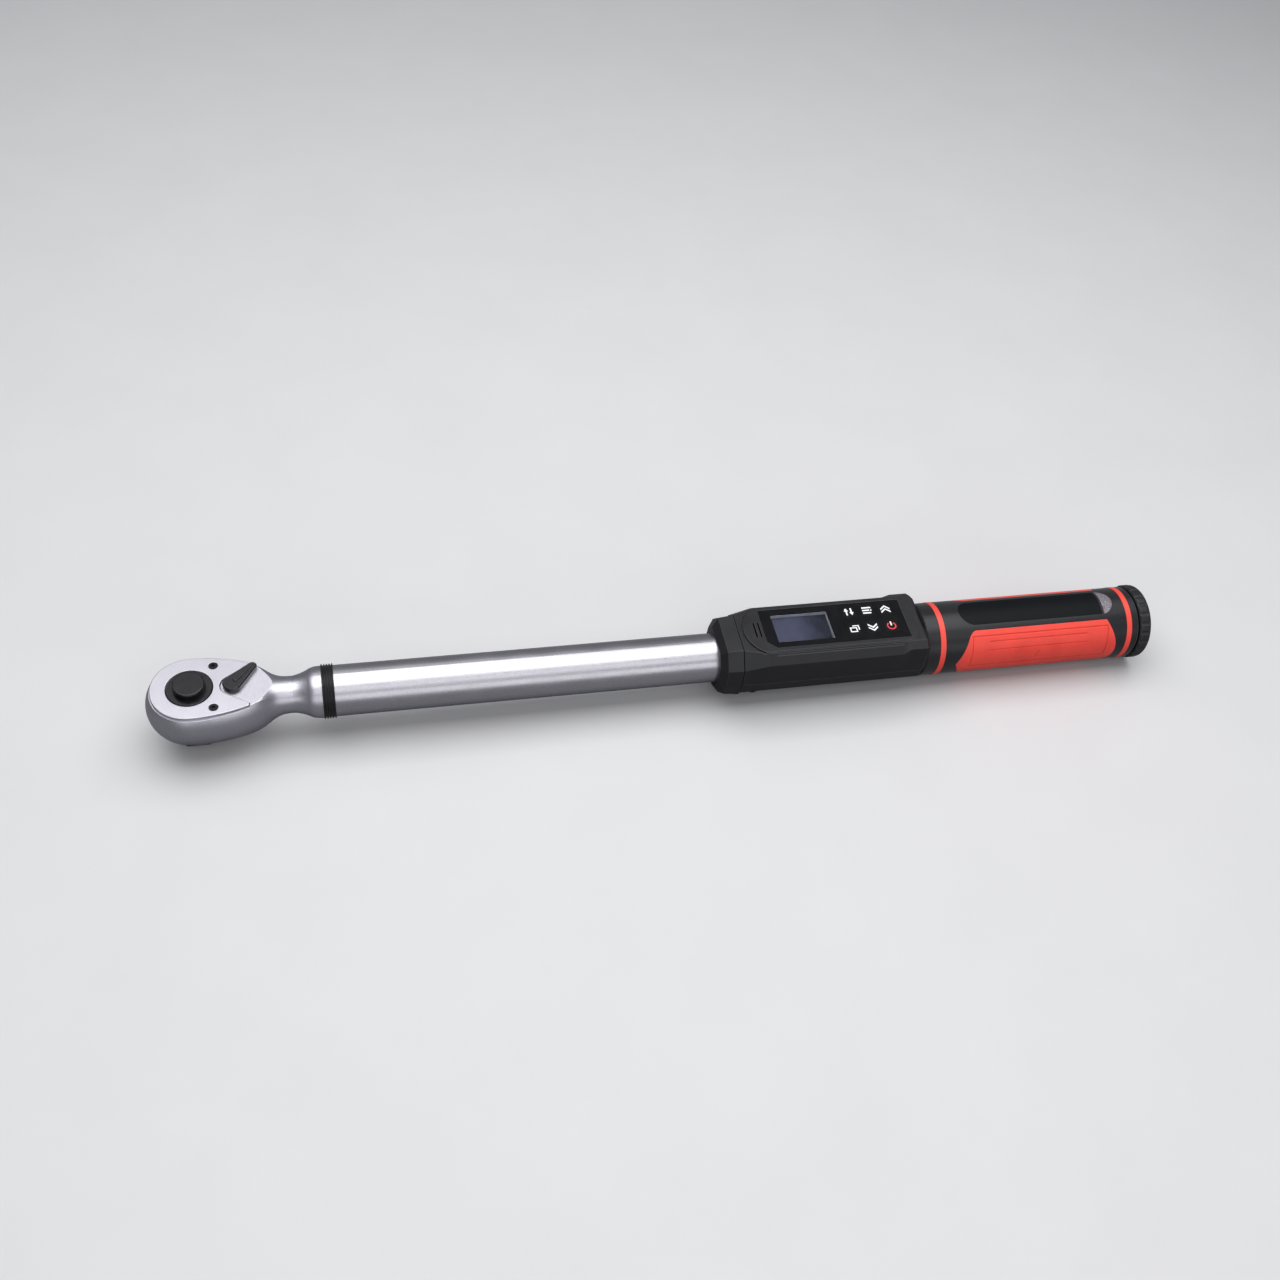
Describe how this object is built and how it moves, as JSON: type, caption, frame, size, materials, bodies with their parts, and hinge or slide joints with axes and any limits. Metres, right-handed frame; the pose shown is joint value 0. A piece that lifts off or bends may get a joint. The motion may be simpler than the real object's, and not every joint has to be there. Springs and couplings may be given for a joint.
{
  "type": "torque wrench",
  "caption": "Electronic torque wrench with a square-drive ratchet head, reversing lever, chrome tube, display housing with keys, soft grip and screw-off battery cap.",
  "frame": {"origin": "where the square drive's axis crosses the long axis of the tool", "axes": "+X from the head to the end cap, +Z out of the face with the reversing lever and the display, +Y to the left seen from the end cap"},
  "size_m": [0.5294, 0.0434, 0.0472],
  "materials": {
    "satin_chrome": "satin chrome plate with fine polishing marks",
    "tube_chrome": "satin chrome plate, drawn along the tube",
    "black_steel": "black phosphate, worn brighter on the edges",
    "screw_black": "black oxide",
    "plain_steel": "ground tool steel",
    "spring_steel": "drawn spring wire",
    "ball_steel": "polished bearing steel",
    "gauge_foil": "foil gauges under clear lacquer",
    "cable": "black cable sheath",
    "collar_rubber": "moulded rubber, semi matte",
    "seal_rubber": "black nitrile",
    "case_plastic": "fine spark-eroded grain",
    "panel_gloss": "polished black overlay",
    "key_gloss": "polished black with white icons",
    "window_glass": "clear hard-coated window",
    "lcd_glass": "blue grey liquid crystal display, switched off",
    "white_plastic": "white light guide",
    "board": "green solder mask",
    "black_plastic": "plain moulded black",
    "grip_rubber": "soft thermoplastic rubber, finely textured",
    "coral_rubber": "coral red soft plastic",
    "strip_plastic": "smooth dark plastic",
    "badge_plastic": "speckled grey plastic",
    "cell_wrap": "plain shrink sleeve",
    "contact_brass": "nickelled brass",
    "cap_plastic": "grained black plastic"
  },
  "bodies": {
    "tool": {"ratchet_head": "satin_chrome", "head_cover": "satin_chrome", "cover_screws": "screw_black", "head_pin": "plain_steel", "beam_pin": "plain_steel", "strain_beam": "plain_steel", "beam_plug": "plain_steel", "strain_gauges": "gauge_foil", "gauge_cable": "cable", "power_cable": "cable", "tube_collar": "collar_rubber", "lever_tube": "tube_chrome", "housing_nose": "case_plastic", "housing_top": "case_plastic", "housing_bottom": "case_plastic", "housing_seal": "seal_rubber", "housing_screws": "screw_black", "front_panel": "panel_gloss", "display_window": "window_glass", "display_glass": "lcd_glass", "display_frame": "white_plastic", "circuit_board": "board", "key_switches": "plain_steel", "buzzer": "black_plastic", "board_chips": "black_plastic", "grip_panel_left": "coral_rubber", "grip_panel_right": "coral_rubber", "grip_strip": "strip_plastic", "grip_badge": "badge_plastic", "front_band": "coral_rubber", "rear_band": "coral_rubber", "grip_sleeve": "grip_rubber", "battery_carrier": "black_plastic", "battery_front": "cell_wrap", "battery_rear": "cell_wrap", "front_contact": "contact_brass", "thread_insert": "plain_steel"},
    "drive": {"drive_gear": "black_steel", "gear_seal": "seal_rubber", "release_spring": "spring_steel"},
    "release": {"release_button": "black_steel", "release_pin": "plain_steel"},
    "ball": {"detent_ball": "ball_steel"},
    "lever": {"reverse_lever": "black_steel", "lever_shaft": "plain_steel", "lever_clip": "spring_steel", "lever_plunger": "plain_steel", "plunger_spring": "spring_steel"},
    "pawl": {"pawl": "plain_steel"},
    "unit_key": {"key_unit": "key_gloss"},
    "mode_key": {"key_mode": "key_gloss"},
    "up_key": {"key_up": "key_gloss"},
    "memory_key": {"key_memory": "key_gloss"},
    "down_key": {"key_down": "key_gloss"},
    "power_key": {"key_power": "key_gloss"},
    "cap_core": {"contact_holder": "black_plastic", "battery_spring": "spring_steel"},
    "cap": {"end_cap": "cap_plastic", "cap_seal": "seal_rubber"}
  },
  "joints": [
    {"name": "drive_turn", "type": "hinge", "parent": "tool", "child": "drive", "pos_m": [0, 0, 0], "axis": [0, 0, 1], "continuous": true},
    {"name": "button_press", "type": "slide", "parent": "drive", "child": "release", "axis": [0, 0, -1], "range_m": [0, 0.003], "deforming": ["release_spring"]},
    {"name": "ball_retract", "type": "slide", "parent": "drive", "child": "ball", "axis": [0, 1, 0], "range_m": [0, 0.001]},
    {"name": "lever_throw", "type": "hinge", "parent": "tool", "child": "lever", "pos_m": [0.0203, 0, 0], "axis": [0, 0, 1], "range_deg": [-92, 0]},
    {"name": "pawl_shift", "type": "hinge", "parent": "tool", "child": "pawl", "pos_m": [0, 0, 0], "axis": [0, 0, 1], "range_deg": [0, 12]},
    {"name": "unit_press", "type": "slide", "parent": "tool", "child": "unit_key", "axis": [0, 0, -1], "range_m": [0, 0.0005]},
    {"name": "mode_press", "type": "slide", "parent": "tool", "child": "mode_key", "axis": [0, 0, -1], "range_m": [0, 0.0005]},
    {"name": "up_press", "type": "slide", "parent": "tool", "child": "up_key", "axis": [0, 0, -1], "range_m": [0, 0.0005]},
    {"name": "memory_press", "type": "slide", "parent": "tool", "child": "memory_key", "axis": [0, 0, -1], "range_m": [0, 0.0005]},
    {"name": "down_press", "type": "slide", "parent": "tool", "child": "down_key", "axis": [0, 0, -1], "range_m": [0, 0.0005]},
    {"name": "power_press", "type": "slide", "parent": "tool", "child": "power_key", "axis": [0, 0, -1], "range_m": [0, 0.0005]},
    {"name": "cap_draw", "type": "slide", "parent": "tool", "child": "cap_core", "axis": [1, 0, 0], "range_m": [0, 0.009]},
    {"name": "cap_twist", "type": "hinge", "parent": "cap_core", "child": "cap", "pos_m": [0.507, 0, 0], "axis": [1, 0, 0], "range_deg": [0, 1080]}
  ],
  "couplings": [
    {"joint": "ball_retract", "follows": "button_press", "ratio": 0.3333},
    {"joint": "pawl_shift", "follows": "lever_throw", "ratio": -0.13},
    {"joint": "cap_draw", "follows": "cap_twist", "m_per_rad": 0.000477}
  ]
}
